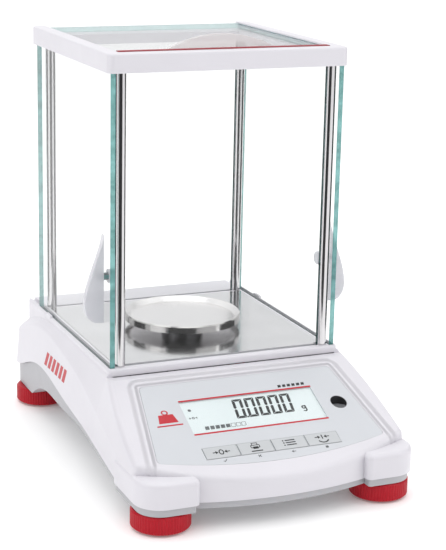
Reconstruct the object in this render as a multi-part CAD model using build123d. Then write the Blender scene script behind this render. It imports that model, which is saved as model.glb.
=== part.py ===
from build123d import *
import os
from math import atan, cos, sin

# Analytical balance with a glass draft shield.  Millimetres, +Z up, front towards -Y.
# Origin: centre of the footprint, on the bench that the four feet stand on.

# ---- driving dimensions -------------------------------------------------------------
PAN_Y = 38.0                  # the weighing pan's axis is at (0, PAN_Y)
PAN_D = 90.0                  # weighing pan diameter
PAN_RIM_Z = 96.5              # top of the pan's rolled rim
HALF_W = 104.5                # half of the width over the front corners
FRONT_Y = -160.5              # front of the bowed nose
DECK_Z = 85.0                 # top of the plinth that carries the draft shield
DECK_HALF = 91.3              # half width of the plinth
DECK_FRONT = -50.5
DECK_REAR = 152.8
WALL = 3.0                    # moulded wall

# draft shield
POST_R = 3.9
POST_X = 80.4
POST_FRONT_Y = -43.0
POST_REAR_Y = 120.0
FRAME_Z0 = 295.6
FRAME_Z1 = 309.0
FRAME_HALF = 91.3
FRAME_FRONT = -49.5
FRAME_REAR = 133.3
PANE_T = 3.0                  # fixed front and rear panes
PANE_HALF = 78.2
ARRIS = 0.35                  # ground-off edges of every pane
DOOR_T = 3.8                  # sliding side panes
DOOR_X = 87.2                 # middle of a side pane
DOOR_FRONT = -47.0
DOOR_REAR = 127.0
DOOR_Z0 = 83.0
DOOR_Z1 = 299.4
TOP_DOOR_T = 4.0
TOP_DOOR_Z = 303.6            # underside of the top pane
TOP_DOOR_HALF = 82.6
TOP_DOOR_FRONT = -37.0
TOP_DOOR_REAR = 131.5
HANDLE_Y = -31.0              # side handles
HANDLE_Z0 = 115.5
HANDLE_Z1 = 180.0
HANDLE_OUT = 14.2             # how far a side handle stands out from its pane

# sloping control panel: z = PANEL_Z + PANEL_SLOPE * (y - PANEL_Y)
PANEL_SLOPE = 0.44
PANEL_Y = -50.0
PANEL_Z = 83.0
PANEL_MID_Y = -100.0          # middle of the display window
LCD_HALF_X = 51.5
LCD_HALF_S = 16.9
KEY_S0 = -42.0                # key strip, measured down the slope from the window's middle
KEY_S1 = -30.8
KEY_PITCH = 25.75
OVERLAY_T = 0.8

# levelling feet
FOOT_X = 83.4
FOOT_FRONT_Y = -135.7
FOOT_REAR_Y = 139.5
FOOT_R = 20.9
FOOT_PAD_T = 1.2
FOOT_TOP = 14.2
STUD_R = 4.0
STUD_TOP = 33.0

# plan radius of the bowed nose
NOSE_R = 214.0
NOSE_CENTRE_Y = FRONT_Y + NOSE_R

LOW = (Align.CENTER, Align.CENTER, Align.MIN)
TILT = atan(PANEL_SLOPE)
PANEL_MID_Z = PANEL_Z + PANEL_SLOPE * (PANEL_MID_Y - PANEL_Y)
PANEL = Plane(
    origin=(0, PANEL_MID_Y, PANEL_MID_Z),
    x_dir=(1, 0, 0),
    z_dir=(0, -sin(TILT), cos(TILT)),
)

POST_PLACES = [(sx * POST_X, y) for sx in (-1, 1) for y in (POST_FRONT_Y, POST_REAR_Y)]
FOOT_PLACES = {
    "front_left": (-FOOT_X, FOOT_FRONT_Y),
    "front_right": (FOOT_X, FOOT_FRONT_Y),
    "rear_left": (-FOOT_X, FOOT_REAR_Y),
    "rear_right": (FOOT_X, FOOT_REAR_Y),
}
HOUSING_SCREWS = [(sx * x, y) for sx in (-1, 1) for x, y in ((79, -94), (62, -30), (62, 98))]

# parts inside, seen from above
BOARD_SCREWS = [(-62.0, -25.0), (-62.0, 25.0), (50.0, -25.0), (50.0, 25.0)]   # (x, up the slope)
BOARD_TOP = -7.4              # display board, below the panel's surface
LEVEL_X = 66.4
LEVEL_Y = -102.2
LEVEL_Z0 = 47.5
LEVEL_R = 6.0
MAIN_BOARD_Z = 42.0
MAIN_BOARD_SCREWS = [(-64.0, 113.0), (-64.0, 143.0), (60.0, 113.0), (60.0, 143.0)]
FLOOR_Z = 18.0                # inside floor of the lower housing
BASE_Z = 15.0                 # underside of the lower housing
CELL_TOP = 74.0
POT_Y = -24.0
CELL_SCREWS = [(sx * 33.0, y) for sx in (-1, 1) for y in (-38.0, 70.0)]
HOOK_COVER_X = 20.0           # pivot of the cover over the weigh-below hook
BOLT_Z = 149.0                # bolt of a side handle
TOP_GRIP_Y = -28.0
TOP_GRIP_H = 11.0

# Housing stations along Y: top edge, ridge and skirt, each as (z, half width).
BREAK_STATION = (-50.0, (83.0, 91.6), (54.0, 100.4), (31.5, 103.0))
REAR_STATIONS = [
    (152.8, (67.0, 90.5), (61.0, 98.8), (31.0, 101.2)),
    (115.0, (79.0, 90.5), (73.0, 97.4), (42.0, 101.4)),
    (80.0, (82.5, 90.6), (76.0, 96.8), (47.5, 101.4)),
    (43.0, (83.0, 90.8), (72.5, 97.4), (43.5, 101.8)),
    (6.0, (83.0, 91.0), (67.5, 98.2), (38.5, 102.2)),
    (-25.0, (83.0, 91.2), (60.5, 99.3), (35.5, 102.7)),
    BREAK_STATION,
]
FRONT_STATIONS = [
    BREAK_STATION,
    (-90.0, (65.4, 98.8), (44.5, 102.8), (25.5, 104.0)),
    (-125.0, (50.0, 101.4), (35.5, 103.9), (20.8, 104.4)),
    (-165.0, (32.4, 102.2), (27.0, 104.2), (20.5, 104.5)),
]


def block(x0, x1, y0, y1, z0, z1):
    """A box between two corners."""
    return Pos((x0 + x1) / 2, (y0 + y1) / 2, z0) * Box(x1 - x0, y1 - y0, z1 - z0, align=LOW)


def rod(x, y, z0, z1, radius):
    """An upright cylinder."""
    return Pos(x, y, z0) * Cylinder(radius, z1 - z0, align=LOW)


def rod_y(x, z, y0, y1, radius):
    """A cylinder along Y."""
    return Pos(x, (y0 + y1) / 2, z) * Rot(90, 0, 0) * Cylinder(radius, y1 - y0)


def rod_x(y, z, x0, x1, radius):
    """A cylinder along X."""
    return Pos((x0 + x1) / 2, y, z) * Rot(0, 90, 0) * Cylinder(radius, x1 - x0)


def panel_block(x0, x1, s0, s1, d0, d1):
    """A box on the sloping panel: x, distance up the slope, height along its normal."""
    return PANEL * block(x0, x1, s0, s1, d0, d1)


def panel_rod(x, s, d0, d1, radius):
    """A cylinder square to the sloping panel."""
    return PANEL * rod(x, s, d0, d1, radius)


def both_sides(shape):
    """The shape and its mirror image across the middle."""
    return shape + mirror(shape, Plane.YZ)


def save(name, *solids):
    """Write one node; several solids stay separate in it."""
    shape = solids[0] if len(solids) == 1 else Compound(children=list(solids))
    export_step(shape, os.path.join("parts", name + ".step"))


# ---- housing ------------------------------------------------------------------------

def station_face(station, inset, drop):
    """One cross-section of the housing, with rounded top edges and ridges."""
    y, (top_z, top_x), (ridge_z, ridge_x), (skirt_z, skirt_x) = station
    right = [
        (skirt_x - inset, skirt_z - drop),
        (ridge_x - inset, ridge_z - inset * 0.4),
        (top_x - inset, top_z - inset),
    ]
    left = [(-x, z) for x, z in reversed(right)]
    face = make_face(Polyline(*right, *left, close=True))
    upper = face.vertices().sort_by(Axis.Y)[-4:]
    face = fillet(upper, radius=max(5.0 - inset, 1.0))
    return Plane.XZ.offset(-y) * face


def housing_loft(inset, drop):
    """Both lengths of the housing's flowing body."""
    rear = loft([station_face(s, inset, drop) for s in REAR_STATIONS])
    front = loft([station_face(s, inset, drop) for s in FRONT_STATIONS])
    return rear, front


def ear(inset, z0, z1):
    """The rounded corner block over one front foot."""
    outer = HALF_W - inset
    inner = 63.0 + inset
    front = -157.8 + inset
    ear_block = block(inner, outer, front, -100.0, z0, z1)
    corners = ear_block.edges().filter_by(Axis.Z).group_by(Axis.Y)[0].sort_by(Axis.X)
    ear_block = fillet(corners[-1:], radius=19.0 - inset)
    corners = ear_block.edges().filter_by(Axis.Z).group_by(Axis.Y)[0].sort_by(Axis.X)
    return fillet(corners[:1], radius=max(4.0 - inset, 0.5))


def plinth(inset, z0):
    """The block under the draft shield."""
    half = DECK_HALF - inset
    body = block(-half, half, DECK_FRONT + inset, DECK_REAR - inset, z0, DECK_Z - inset)
    if inset:
        return body
    body = fillet(body.edges().filter_by(Axis.Z), radius=4.5)
    return fillet(body.faces().sort_by(Axis.Z)[-1].edges(), radius=1.6)


def housing_bosses():
    """Screw bosses, post seats and the level's cup, on the inside of the upper housing."""
    bosses = rod(LEVEL_X, LEVEL_Y, LEVEL_Z0 - 1.5, 70.0, LEVEL_R + 2.2)
    for x, y in HOUSING_SCREWS:
        bosses += rod(x, y, 21.0, 84.0, 4.5)
    for x, y in POST_PLACES:
        bosses += rod(x, y, 74.0, 84.0, 6.5)
    for x, s in BOARD_SCREWS:
        bosses += panel_rod(x, s, BOARD_TOP, -1.5, 3.0)
    return bosses


def make_top_housing():
    """White moulded upper housing: plinth, flowing sides, sloping panel and front corners."""
    rear, front = housing_loft(0.0, 0.0)
    front &= Pos(0, NOSE_CENTRE_Y, 0) * Cylinder(NOSE_R, 120, align=LOW)
    nose_face = front.faces().filter_by(GeomType.CYLINDER).sort_by(SortBy.AREA)[-1]
    front = fillet(nose_face.edges().filter_by(lambda edge: edge.center().Z > 30), radius=5.0)
    front -= block(-120, 120, -58.2, -50.0, 79.4, 90)
    corner = ear(0.0, 20.5, 38.5)
    corner = fillet(corner.faces().sort_by(Axis.Z)[-1].edges(), radius=3.0)
    outside = rear + front + plinth(0.0, 48.0) + both_sides(corner)

    rear_space, front_space = housing_loft(WALL, 6.0)
    rear_space &= block(-120, 120, -60, DECK_REAR - WALL, 0, 120)
    front_space &= Pos(0, NOSE_CENTRE_Y, 0) * Cylinder(NOSE_R - WALL, 120, align=LOW)
    space = rear_space + front_space
    space += block(-84, 84, DECK_FRONT + WALL, DECK_REAR - WALL, 40, DECK_Z - 3.5)
    space += both_sides(ear(WALL, 10.0, 35.5))

    body = outside - space + (outside & housing_bosses())
    body -= deck_cuts()
    body -= panel_cuts()
    body -= socket_cuts(0.3)
    for x, y in HOUSING_SCREWS:
        body -= rod(x, y, 20.0, 33.0, 1.55)
    return body


def deck_cuts():
    """Pocket for the floor plate, pane and door grooves, post seats and the stem hole."""
    cuts = block(-83.2, 83.2, -41.2, 115.7, DECK_Z - 0.8, 90)
    for y in (POST_FRONT_Y, POST_REAR_Y):
        cuts += block(-78.5, 78.5, y - 1.6, y + 1.6, 83.4, 90)
    cuts += both_sides(door_groove(82.7, 90))
    for x, y in POST_PLACES:
        cuts += rod(x, y, 83.0, 90, POST_R + 0.05)
        cuts += rod(x, y, 70.0, 84, 2.1)
    cuts += both_sides(block(89.2, 96, 89.9, 102.1, 80.9, 90))
    cuts += rod(0, PAN_Y, 70, 90, 9.2)
    return cuts


def door_groove(z0, z1):
    """The slot that one side pane slides in; it is open at the rear."""
    x = DOOR_X
    return block(x - 2.1, x + 2.1, DOOR_FRONT - 0.6, 170, z0, z1)


def overlay_outline(margin):
    """Outline of the control panel's film: it widens to the front and follows the nose."""
    top = 36.0 + margin
    side = -39.3
    bow = -50.6 - margin
    outline = Polyline((-86 - margin, side), (-74.5 - margin, top), (74.5 + margin, top), (86 + margin, side))
    front = ThreePointArc((86 + margin, side), (0, bow), (-86 - margin, side))
    face = make_face([*outline.edges(), front])
    return fillet(face.vertices(), radius=3.5)


def panel_cuts():
    """Recess for the film and the openings for display, keys and level."""
    cuts = PANEL * (Pos(0, 0, -OVERLAY_T - 0.05) * extrude(overlay_outline(0.25), amount=8))
    cuts += panel_block(-55.2, 55.2, -20.2, 20.2, -8, 1)
    cuts += panel_block(-52.3, 52.3, KEY_S0 - 0.8, KEY_S1 + 0.8, -8, 1)
    cuts += rod(LEVEL_X, LEVEL_Y, LEVEL_Z0, 75, LEVEL_R + 0.1)
    for x, s in BOARD_SCREWS:
        cuts += panel_rod(x, s, BOARD_TOP - 1, BOARD_TOP + 4.6, 1.55)
    return cuts


def socket_cuts(gap):
    """Openings in the rear wall for the power, USB and serial sockets."""
    y0 = DECK_REAR - WALL - 1
    cuts = block(-55 - gap, -24 + gap, y0, 160, 43.6 - gap, 56 + gap)
    cuts += block(-6 - gap, 7 + gap, y0, 160, 43.6 - gap, 54.6 + gap)
    cuts += block(38 - gap, 48 + gap, y0, 160, 43.6 - gap, 54.6 + gap)
    return cuts


def tray_face(station, inset, lift, rim):
    """One cross-section of the grey lower housing."""
    y, rim_z, rim_x, side_z = station
    half = rim_x - inset
    pts = [(70 - inset * 0.4, BASE_Z + lift), (half, side_z + lift), (half, rim_z + rim)]
    left = [(-x, z) for x, z in reversed(pts)]
    return Plane.XZ.offset(-y) * make_face(Polyline(*pts, *left, close=True))


def tray_loft(inset, lift, rim):
    """The lower housing's body; its rim follows the skirt of the upper one."""
    rear_side = (15.4, 15.4, 29.0, 29.2, 30.0, 29.0, 25.5)
    front_side = (25.5, 19.5, 15.4, 15.4)
    shapes = []
    for stations, sides in ((REAR_STATIONS, rear_side), (FRONT_STATIONS, front_side)):
        rows = []
        for (y, _, _, (skirt_z, skirt_x)), side_z in zip(stations, sides):
            rows.append((y, skirt_z - 0.2, skirt_x - 2.3, side_z))
        shapes.append(loft([tray_face(row, inset, lift, rim) for row in rows]))
    return shapes


def rear_foot_shroud():
    """The rounded bulge of the lower housing over one rear foot."""
    shroud = rod(FOOT_X, FOOT_REAR_Y, 13.5, 20.0, 18.6)
    shroud += Pos(FOOT_X, FOOT_REAR_Y, 20.0) * Cone(18.6, 12.0, 8.5, align=LOW)
    return shroud & block(40, 98.7, 90, 151.2, 0, 60)


def make_bottom_housing():
    """Grey lower housing with the seats of the four feet."""
    rear, front = tray_loft(0.0, 0.0, 0.0)
    rear &= block(-120, 120, -60, 151.3, 0, 120)
    front &= Pos(0, NOSE_CENTRE_Y, 0) * Cylinder(NOSE_R - 1.6, 120, align=LOW)
    rear += both_sides(rear_foot_shroud())
    front += both_sides(ear(2.0, 13.5, 20.3))
    body = rear + front

    rear_space, front_space = tray_loft(2.6, 3.0, 6.0)
    rear_space &= block(-120, 120, -60, 148.6, 0, 120)
    front_space &= Pos(0, NOSE_CENTRE_Y, 0) * Cylinder(NOSE_R - 4.4, 120, align=LOW)
    body -= rear_space + front_space
    body -= block(-120, 120, -180, 180, 0, BASE_Z - 0.2)
    body -= both_sides(block(HALF_W - WALL - 0.3, 110, -130, -99, 20.3, 40))

    for x, y in FOOT_PLACES.values():
        body += rod(x, y, BASE_Z, 30.5, 9.0)
    for x, y in MAIN_BOARD_SCREWS:
        body += rod(x, y, BASE_Z + 1, MAIN_BOARD_Z, 3.5)
    for x, y in HOUSING_SCREWS:
        body += rod(x, y, BASE_Z, 20.8, 5.5)

    for x, y in FOOT_PLACES.values():
        body -= rod(x, y, 10, 40, 6.05)
    for x, y in MAIN_BOARD_SCREWS:
        body -= rod(x, y, MAIN_BOARD_Z - 6, MAIN_BOARD_Z + 1, 1.55)
    for x, y in HOUSING_SCREWS:
        body -= rod(x, y, 10, 25, 1.75)
        body -= rod(x, y, 10, BASE_Z + 3, 3.2)
    for x, y in CELL_SCREWS:
        body -= rod(x, y, BASE_Z + 0.8, 30, 1.55)
    body -= rod(0, PAN_Y, 10, 30, 8.0)
    body -= rod(HOOK_COVER_X, PAN_Y, 10, 18.9, 1.6)
    return body


# ---- draft shield -------------------------------------------------------------------

def make_floor_plate():
    """Polished steel floor of the weighing chamber."""
    plate = block(-83, 83, -41, 115.5, DECK_Z - 0.8, DECK_Z + 0.2)
    plate -= both_sides(block(76, 90, -50, -38.6, 80, 90))
    plate -= rod(0, PAN_Y, 80, 90, 9.1)
    return plate


def make_pan_seal():
    """Collar that lines the stem hole in the floor."""
    collar = rod(0, PAN_Y, 81.6, DECK_Z + 0.2, 9.0)
    collar += rod(0, PAN_Y, DECK_Z + 0.2, DECK_Z + 1.0, 12.0)
    return collar - rod(0, PAN_Y, 80, 90, 6.2)


def make_post(x, y):
    """Polished round post with a slot for its fixed pane and a tapped foot."""
    post = rod(x, y, 83.0, 298.4, POST_R)
    side = 1 if x > 0 else -1
    slot_x = sorted((side * (PANE_HALF + 0.3), side * 70))
    post -= block(slot_x[0], slot_x[1], y - 1.6, y + 1.6, 80, 300)
    post -= rod(x, y, 80, 91, 2.05)
    return post


def make_post_screws():
    """One screw up into the foot of each post."""
    screws = []
    for x, y in POST_PLACES:
        head = rod(x, y, 71.0, 73.9, 3.6)
        screws.append(head + rod(x, y, 73.9, 89.0, 2.0))
    return screws


def make_top_frame():
    """White frame that ties the posts together and guides the three sliding panes."""
    frame = block(-FRAME_HALF, FRAME_HALF, FRAME_FRONT, FRAME_REAR, FRAME_Z0, FRAME_Z1)
    frame = fillet(frame.edges().filter_by(Axis.Z), radius=4.5)
    frame = fillet(frame.faces().sort_by(Axis.Z)[-1].edges(), radius=1.5)
    frame -= block(-76, 76, -36, 115, 290, 320)
    frame -= block(-81, 81, -39.6, 150, TOP_DOOR_Z - 0.3, 320)
    groove_top = TOP_DOOR_Z + TOP_DOOR_T + 0.3
    frame -= block(-83, 83, -39.6, 150, TOP_DOOR_Z - 0.3, groove_top)
    frame -= both_sides(door_groove(290, DOOR_Z1 + 0.6))
    for y in (POST_FRONT_Y, POST_REAR_Y):
        frame -= block(-78.5, 78.5, y - 1.6, y + 1.6, 290, 298.6)
    for x, y in POST_PLACES:
        frame -= rod(x, y, 290, 298.5, POST_R + 0.05)
    return frame


def make_pane(y):
    """A fixed front or rear pane."""
    pane = block(-PANE_HALF, PANE_HALF, y - PANE_T / 2, y + PANE_T / 2, 83.5, 298.4)
    return chamfer(pane.edges(), length=ARRIS)


def make_side_glass():
    """Right-hand sliding pane, drilled for its handle bolt."""
    x0 = DOOR_X - DOOR_T / 2
    pane = block(x0, x0 + DOOR_T, DOOR_FRONT, DOOR_REAR, DOOR_Z0, DOOR_Z1)
    pane = fillet(pane.edges().filter_by(Axis.X), radius=2.0)
    pane = chamfer(pane.faces().filter_by(Axis.X).edges(), length=ARRIS)
    return pane - rod_x(HANDLE_Y, BOLT_Z, 80, 95, 2.6)


def make_side_handle():
    """Right-hand handle: a fin that swells towards its rounded foot."""
    x0 = DOOR_X + DOOR_T / 2
    out = x0 + HANDLE_OUT
    blade = Spline((x0, HANDLE_Z1), (x0 + 4.6, 163), (x0 + 10.6, 146), (out, 129))
    toe = Spline(
        (out, 129),
        (out - 2.6, 119.5),
        (x0 + 4.0, HANDLE_Z0),
        tangents=((0, -1), (-1, 0)),
    )
    sole = Polyline((x0 + 4.0, HANDLE_Z0), (x0, HANDLE_Z0), (x0, HANDLE_Z1))
    face = make_face([blade, toe, *sole.edges()])
    fin = extrude(Plane.XZ.offset(-HANDLE_Y) * face, amount=2.6, both=True)
    return fin - rod_x(HANDLE_Y, BOLT_Z, 80, x0 + 5, 2.05)


def make_side_bolt():
    """Right-hand bolt: a round cap inside the pane and a shank into the fin."""
    inner = DOOR_X - DOOR_T / 2
    cap = rod_x(HANDLE_Y, BOLT_Z, inner - 5.4, inner, 5.0)
    cap = fillet(cap.faces().sort_by(Axis.X)[0].edges(), radius=1.0)
    return cap + rod_x(HANDLE_Y, BOLT_Z, inner, inner + DOOR_T + 4.4, 2.0)


def make_top_door_glass():
    """Top pane; it slides to the rear over the low rear rail."""
    half = TOP_DOOR_HALF
    pane = block(-half, half, TOP_DOOR_FRONT, TOP_DOOR_REAR, TOP_DOOR_Z, TOP_DOOR_Z + TOP_DOOR_T)
    return chamfer(pane.edges(), length=ARRIS)


def make_top_door_trim():
    """Red moulding that caps the front edge of the top pane."""
    trim = block(-80.6, 80.6, -39.3, -33.6, TOP_DOOR_Z - 0.15, TOP_DOOR_Z + 5.8)
    glass = block(-90, 90, TOP_DOOR_FRONT, 0, TOP_DOOR_Z, TOP_DOOR_Z + TOP_DOOR_T)
    low_edge = block(-90, 90, -36.2, 0, 300, TOP_DOOR_Z)
    return trim - glass - low_edge


def make_top_door_handle():
    """Low arched grip on the top pane."""
    z0 = TOP_DOOR_Z + TOP_DOOR_T
    chord = Line((-43, z0), (43, z0))
    bow = ThreePointArc((43, z0), (0, z0 + TOP_GRIP_H), (-43, z0))
    face = make_face([chord, bow])
    return extrude(Plane.XZ.offset(-TOP_GRIP_Y) * face, amount=1.6, both=True)


def make_door_stops():
    """Snap-in stops beside the door grooves."""
    stop = block(89.35, 91.2, 90.1, 101.9, 81.0, 86.4)
    stop = fillet(stop.edges().filter_by(Axis.X).group_by(Axis.Z)[-1], radius=1.5)
    return [stop, mirror(stop, Plane.YZ)]


# ---- control panel ------------------------------------------------------------------

def key_centre(index):
    """Middle of one key along X."""
    return (index - 1.5) * KEY_PITCH


def make_display_overlay():
    """Printed film over the panel, with windows for display, keys and level."""
    film = PANEL * (Pos(0, 0, -OVERLAY_T) * extrude(overlay_outline(0.0), amount=OVERLAY_T))
    film -= panel_block(-LCD_HALF_X, LCD_HALF_X, -LCD_HALF_S, LCD_HALF_S, -2, 2)
    for index in range(4):
        x = key_centre(index)
        film -= panel_block(x - 12.75, x + 12.75, KEY_S0 - 0.15, KEY_S1 + 0.15, -2, 2)
    return film - rod(LEVEL_X, LEVEL_Y, 40, 75, LEVEL_R + 0.1)


def make_key(index):
    """One key with its plunger."""
    x = key_centre(index)
    cap = panel_block(x - 12.45, x + 12.45, KEY_S0 + 0.15, KEY_S1 - 0.15, -1.2, 0.25)
    middle = (KEY_S0 + KEY_S1) / 2
    return cap + panel_rod(x, middle, BOARD_TOP + 0.7, -1.2, 2.5)


def make_lcd_panel():
    """Liquid-crystal display module on its board."""
    module = panel_block(-54.5, 54.5, -19.5, 19.5, BOARD_TOP, -1.6)
    return module + panel_block(-52.5, 52.5, -17.8, 17.8, -1.6, -0.9)


def make_display_board():
    """Circuit board behind the panel."""
    board = panel_block(-70, 54.5, -44.5, 30, BOARD_TOP - 1.6, BOARD_TOP)
    for x, s in BOARD_SCREWS:
        board -= panel_rod(x, s, -12, 0, 1.7)
    return board


def make_level_vial():
    """Bull's-eye level: a short clear cylinder with a domed top."""
    vial = rod(LEVEL_X, LEVEL_Y, LEVEL_Z0, LEVEL_Z0 + 9.0, LEVEL_R)
    return fillet(vial.faces().sort_by(Axis.Z)[-1].edges(), radius=0.8)


# ---- electronics --------------------------------------------------------------------

def make_main_board():
    """Main circuit board along the rear wall."""
    board = block(-69, 66, 108, 149.4, MAIN_BOARD_Z, MAIN_BOARD_Z + 1.6)
    for x, y in MAIN_BOARD_SCREWS:
        board -= rod(x, y, 40, 50, 1.7)
    return board


def socket_body(x0, x1, z1):
    """A socket's shell on the main board; its face is level with the rear wall."""
    return block(x0, x1, 138, DECK_REAR - 0.4, MAIN_BOARD_Z + 1.6, z1)


def make_power_jack():
    """Low-voltage inlet with its centre pin."""
    jack = socket_body(38.3, 47.7, 54.3)
    jack -= rod_y(43, 49, 143, 160, 3.1)
    return jack + rod_y(43, 49, 142.5, 151, 0.9)


def make_usb_socket():
    """Square USB socket with its tongue."""
    socket = socket_body(-5.7, 6.7, 54.3)
    socket -= block(-4.2, 5.2, 143, 160, 44.8, 53.0)
    return socket + block(-2.4, 3.4, 142.5, 151, 47.4, 50.4)


def make_serial_socket():
    """Nine-pole D-shaped serial socket between its two jack posts."""
    socket = socket_body(-54.7, -24.3, 55.7)
    opening = block(-48.2, -30.8, 148, 160, 45.9, 53.6)
    opening = fillet(opening.edges().filter_by(Axis.Y), radius=2.4)
    socket -= opening
    insert = block(-46.8, -32.2, 147.5, 151.6, 47.2, 52.3)
    insert = fillet(insert.edges().filter_by(Axis.Y), radius=1.8)
    return socket + insert


def make_display_cable():
    """Ribbon cable from the display board to the main board."""
    run = Polyline((-86, 54.0), (-74, 40.0), (-62, 32.0), (104, 32.0), (108.5, 41.4), (114, 41.7))
    return Pos(-49, 0, 0) * extrude(Plane.YZ * trace(run, 0.6), amount=14)


# ---- weighing cell ------------------------------------------------------------------

def make_cell_base():
    """Aluminium frame of the weighing cell: base, rear column and lever bearers."""
    base = block(-38, 38, -44, 98, FLOOR_Z, 24)
    base += block(-30, 30, 82, 98, 24, CELL_TOP)
    base += both_sides(block(17, 21, 54, 62, 24, 64))
    base -= block(-40, 40, 70, 92, 34.7, 36.1)
    base -= rod(0, PAN_Y, 10, 30, 9.0)
    for x, y in CELL_SCREWS:
        base -= rod(x, y, 10, 30, 1.7)
    for x in (-20, 20):
        base -= rod(x, 90, CELL_TOP - 7, CELL_TOP + 1, 1.55)
    return base


def make_guide(z, hole, reach):
    """One of the two flexing guides that keep the load receiver upright."""
    guide = block(-28, 28, 30, reach, z, z + 1.2)
    guide -= block(-22, 22, 50, 76, z - 1, z + 3)
    return guide - rod(0, PAN_Y, z - 1, z + 3, hole)


def make_upper_guide():
    guide = make_guide(CELL_TOP, 8.3, 98)
    for x in (-20, 20):
        guide -= rod(x, 90, 70, 80, 1.7)
    return guide


def make_lower_guide():
    return make_guide(34.8, 3.6, 91.9)


def make_load_receiver():
    """Block that carries the pan's stem between the two guides."""
    receiver = block(-8, 8, 30, 46, 36, CELL_TOP) + rod(0, PAN_Y, CELL_TOP, 78, 8.0)
    receiver -= rod(0, PAN_Y, 64, 80, 4.4)
    return receiver - rod(0, PAN_Y, 30, 44, 2.55)


def make_weighing_lever():
    """Forked lever from the load receiver to the coil."""
    arms = both_sides(block(10.4, 14.4, -33, 72, 52.2, 58))
    return arms + block(-14.4, 14.4, 66, 72, 52.2, 58) + block(-14.4, 14.4, -33, -15, 52.2, 58)


def make_coupling_link():
    """Strap from the load receiver to the short end of the lever."""
    return block(-4, 4, 46, 70, 40, 43) + block(-4, 4, 68.5, 70, 43, 52.2)


def make_magnet_pot():
    """Iron pot with its round magnet in the middle."""
    pot = rod(0, POT_Y, 24, 46, 17.5)
    return pot - (rod(0, POT_Y, 29, 50, 12.4) - rod(0, POT_Y, 20, 60, 7.0))


def make_coil():
    """Compensation coil under the lever's long end."""
    return rod(0, POT_Y, 38, 52.2, 11.2) - rod(0, POT_Y, 30, 60, 8.2)


def make_position_sensor():
    """Light gate that reads the lever's tip."""
    sensor = block(-8, 8, -41, -35.6, 46, 64)
    return sensor - block(-3, 3, -50, -30, 52, 60)


def make_inner_screws():
    """Cap screws of the weighing cell, its upper guide, the display board and the main board."""
    screws = []
    for x, y in CELL_SCREWS:
        screws.append(rod(x, y, 24, 26.2, 2.8) + rod(x, y, 16.2, 24, 1.5))
    for x in (-20, 20):
        z = CELL_TOP + 1.2
        screws.append(rod(x, 90, z, z + 2.2, 2.8) + rod(x, 90, z - 7.6, z, 1.5))
    for x, y in MAIN_BOARD_SCREWS:
        z = MAIN_BOARD_Z + 1.6
        screws.append(rod(x, y, z, z + 2.2, 2.8) + rod(x, y, z - 7.2, z, 1.5))
    for x, s in BOARD_SCREWS:
        d = BOARD_TOP - 1.6
        screws.append(panel_rod(x, s, d - 2.2, d, 2.8) + panel_rod(x, s, d, d + 5.8, 1.5))
    return screws


def make_housing_screws():
    """Screws that hold the two housings together, sunk in the underside."""
    screws = []
    for x, y in HOUSING_SCREWS:
        z = BASE_Z + 3
        screws.append(rod(x, y, z - 2.4, z, 3.0) + rod(x, y, z, z + 14, 1.5))
    return screws


# ---- pan, feet and the hook below ---------------------------------------------------

def make_weighing_pan():
    """Steel pan: a shallow dish with a rolled rim and a hanging lip."""
    r = PAN_D / 2
    outline = Polyline(
        (0, 92.2),
        (40.6, 92.2),
        (43.6, 95.2),
        (r - 0.9, 95.4),
        (r - 0.9, 91.0),
        (r, 91.0),
        (r, 95.7),
        (r - 0.8, PAN_RIM_Z),
        (43.6, 96.2),
        (40.3, 93.0),
        (0, 93.0),
        close=True,
    )
    return Pos(0, PAN_Y, 0) * revolve(Plane.XZ * make_face(outline), Axis.Z)


def make_pan_support():
    """Boss and stem that carry the pan on the load receiver."""
    support = rod(0, PAN_Y, 87.2, 92.15, 16.0)
    support = fillet(support.edges().group_by(Axis.Z)[0], radius=1.0)
    support += rod(0, PAN_Y, 78.0, 87.2, 5.4)
    return support + rod(0, PAN_Y, 66, 78.0, 4.0)


def make_foot_wheel(x, y):
    """Knurled levelling wheel with its threaded stud and the socket for its pad."""
    wheel = rod(0, 0, FOOT_PAD_T + 0.1, FOOT_TOP, FOOT_R)
    wheel = chamfer(wheel.edges(), length=1.2)
    ribs = 60
    notch = rod(FOOT_R + 0.35, 0, 0, 20, 0.75)
    wheel -= [Rot(0, 0, 360 * k / ribs) * notch for k in range(ribs)]
    wheel += rod(0, 0, FOOT_TOP, STUD_TOP, STUD_R)
    wheel -= rod(0, 0, 0, 7.0, 5.05)
    return Pos(x, y, 0) * wheel


def make_foot_pad(x, y):
    """Rubber pad that the foot stands on; its spigot turns in the wheel."""
    pad = rod(x, y, 0, FOOT_PAD_T, 15.0)
    pad = fillet(pad.faces().sort_by(Axis.Z)[0].edges(), radius=0.6)
    return pad + rod(x, y, FOOT_PAD_T, 6.6, 5.0)


def make_foot_inserts():
    """Threaded brass inserts that the studs turn in."""
    inserts = []
    for x, y in FOOT_PLACES.values():
        inserts.append(rod(x, y, BASE_Z + 0.2, 30.4, 6.0) - rod(x, y, 10, 40, STUD_R + 0.06))
    return inserts


def make_weigh_hook():
    """Eye below the load receiver, for weighing things hung under the bench."""
    eye = Pos(0, PAN_Y, 22.0) * Rot(90, 0, 0) * Torus(3.6, 1.2)
    return eye + rod(0, PAN_Y, 25.2, 42, 2.5)


def make_hook_cover():
    """Swinging cover over the hook's hole, with its pivot pin."""
    z0 = BASE_Z - 2.0
    z1 = BASE_Z - 0.3
    cover = rod(0, PAN_Y, z0, z1, 11.0) + rod(HOOK_COVER_X, PAN_Y, z0, z1, 5.5)
    cover += block(0, HOOK_COVER_X, PAN_Y - 5.5, PAN_Y + 5.5, z0, z1)
    return cover + rod(HOOK_COVER_X, PAN_Y, z1, FLOOR_Z - 0.2, 1.55)


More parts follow.
